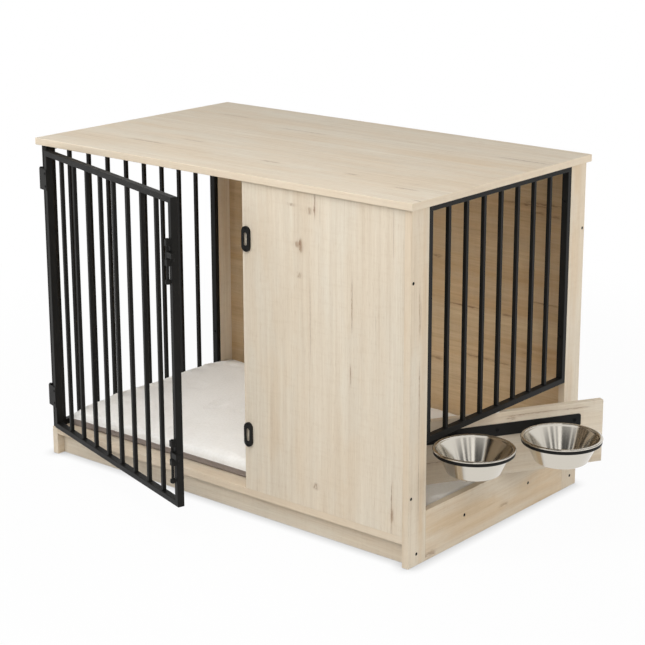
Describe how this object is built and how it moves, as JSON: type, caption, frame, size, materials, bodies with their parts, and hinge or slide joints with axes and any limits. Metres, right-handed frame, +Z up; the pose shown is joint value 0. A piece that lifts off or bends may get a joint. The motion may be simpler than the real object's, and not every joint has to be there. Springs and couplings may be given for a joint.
{
  "type": "pet crate",
  "caption": "Furniture-style dog crate: oak-look cabinet with a barred swing door, barred ends, gravity latches and a swivelling feeder board that carries bowls in rings.",
  "frame": {"origin": "on the ground under the middle of the cabinet, at the middle of the floor support rail's underside", "axes": "+X along the length to the feeder end, +Y to the back panel, +Z up"},
  "size_m": [1.2186, 0.7762, 0.715],
  "materials": {
    "oak_board": "matt oak-look melamine",
    "beech": "raw",
    "black_steel": "satin powder coat",
    "black_fastener": "blackened",
    "black_plastic": "matt",
    "nylon": "natural",
    "stainless": "polished",
    "fleece": "short plush"
  },
  "bodies": {
    "cabinet": {"front_plinth": "oak_board", "rear_plinth": "oak_board", "floor_support_rail": "oak_board", "floor_board": "oak_board", "left_base_board": "oak_board", "left_rear_stile": "oak_board", "right_lower_board": "oak_board", "right_front_stile": "oak_board", "right_rear_stile": "oak_board", "front_panel": "oak_board", "back_panel": "oak_board", "top_board": "oak_board", "dowels": "beech", "right_side_screws": "black_fastener", "left_side_screws": "black_fastener", "right_grille_frame": "black_steel", "right_grille_plugs": "black_plastic", "right_grille_bars": "black_steel", "right_grille_screws": "black_fastener", "left_grille_frame": "black_steel", "left_grille_plugs": "black_plastic", "left_grille_bars": "black_steel", "left_grille_screws": "black_fastener", "lower_hinge_post_leaf": "black_steel", "lower_hinge_pin": "black_fastener", "upper_hinge_post_leaf": "black_steel", "upper_hinge_pin": "black_fastener", "hinge_post_screws": "black_fastener", "lower_strike": "black_steel", "upper_strike": "black_steel", "strike_screws": "black_fastener", "upper_pivot_bush": "nylon", "lower_pivot_bush": "nylon", "floor_mat": "fleece"},
    "door": {"door_frame": "black_steel", "door_bars": "black_steel", "door_plugs": "black_plastic", "lower_hinge_door_leaf": "black_steel", "upper_hinge_door_leaf": "black_steel", "hinge_door_screws": "black_fastener", "lower_latch_bracket": "black_steel", "upper_latch_bracket": "black_steel"},
    "lower_latch": {"lower_latch_rod": "black_steel", "lower_latch_knob": "black_steel"},
    "upper_latch": {"upper_latch_rod": "black_steel", "upper_latch_knob": "black_steel"},
    "feeder": {"feeder_board": "oak_board", "upper_pivot_pin": "black_fastener", "lower_pivot_pin": "black_fastener", "bowl_carrier_strip": "black_steel", "front_bowl_ring": "black_steel", "rear_bowl_ring": "black_steel", "bowl_carrier_bolts": "black_fastener", "bowl_carrier_nuts": "black_fastener"},
    "front_bowl": {"front_bowl": "stainless"},
    "rear_bowl": {"rear_bowl": "stainless"}
  },
  "joints": [
    {"name": "door_hinge", "type": "hinge", "parent": "cabinet", "child": "door", "pos_m": [-0.504, -0.29, 0.38], "axis": [0, 0, -1], "range_deg": [-16.7, 163.3]},
    {"name": "lower_latch_lift", "type": "slide", "parent": "door", "child": "lower_latch", "axis": [0, 0, 1], "range_m": [0, 0.01]},
    {"name": "upper_latch_lift", "type": "slide", "parent": "door", "child": "upper_latch", "axis": [0, 0, 1], "range_m": [0, 0.01]},
    {"name": "feeder_swivel", "type": "hinge", "parent": "cabinet", "child": "feeder", "pos_m": [0.4925, 0, 0.17], "axis": [0, 0, 1], "continuous": true},
    {"name": "front_bowl_lift", "type": "slide", "parent": "feeder", "child": "front_bowl", "axis": [0, 0, 1], "range_m": [0, 0.024]},
    {"name": "rear_bowl_lift", "type": "slide", "parent": "feeder", "child": "rear_bowl", "axis": [0, 0, 1], "range_m": [0, 0.024]}
  ]
}
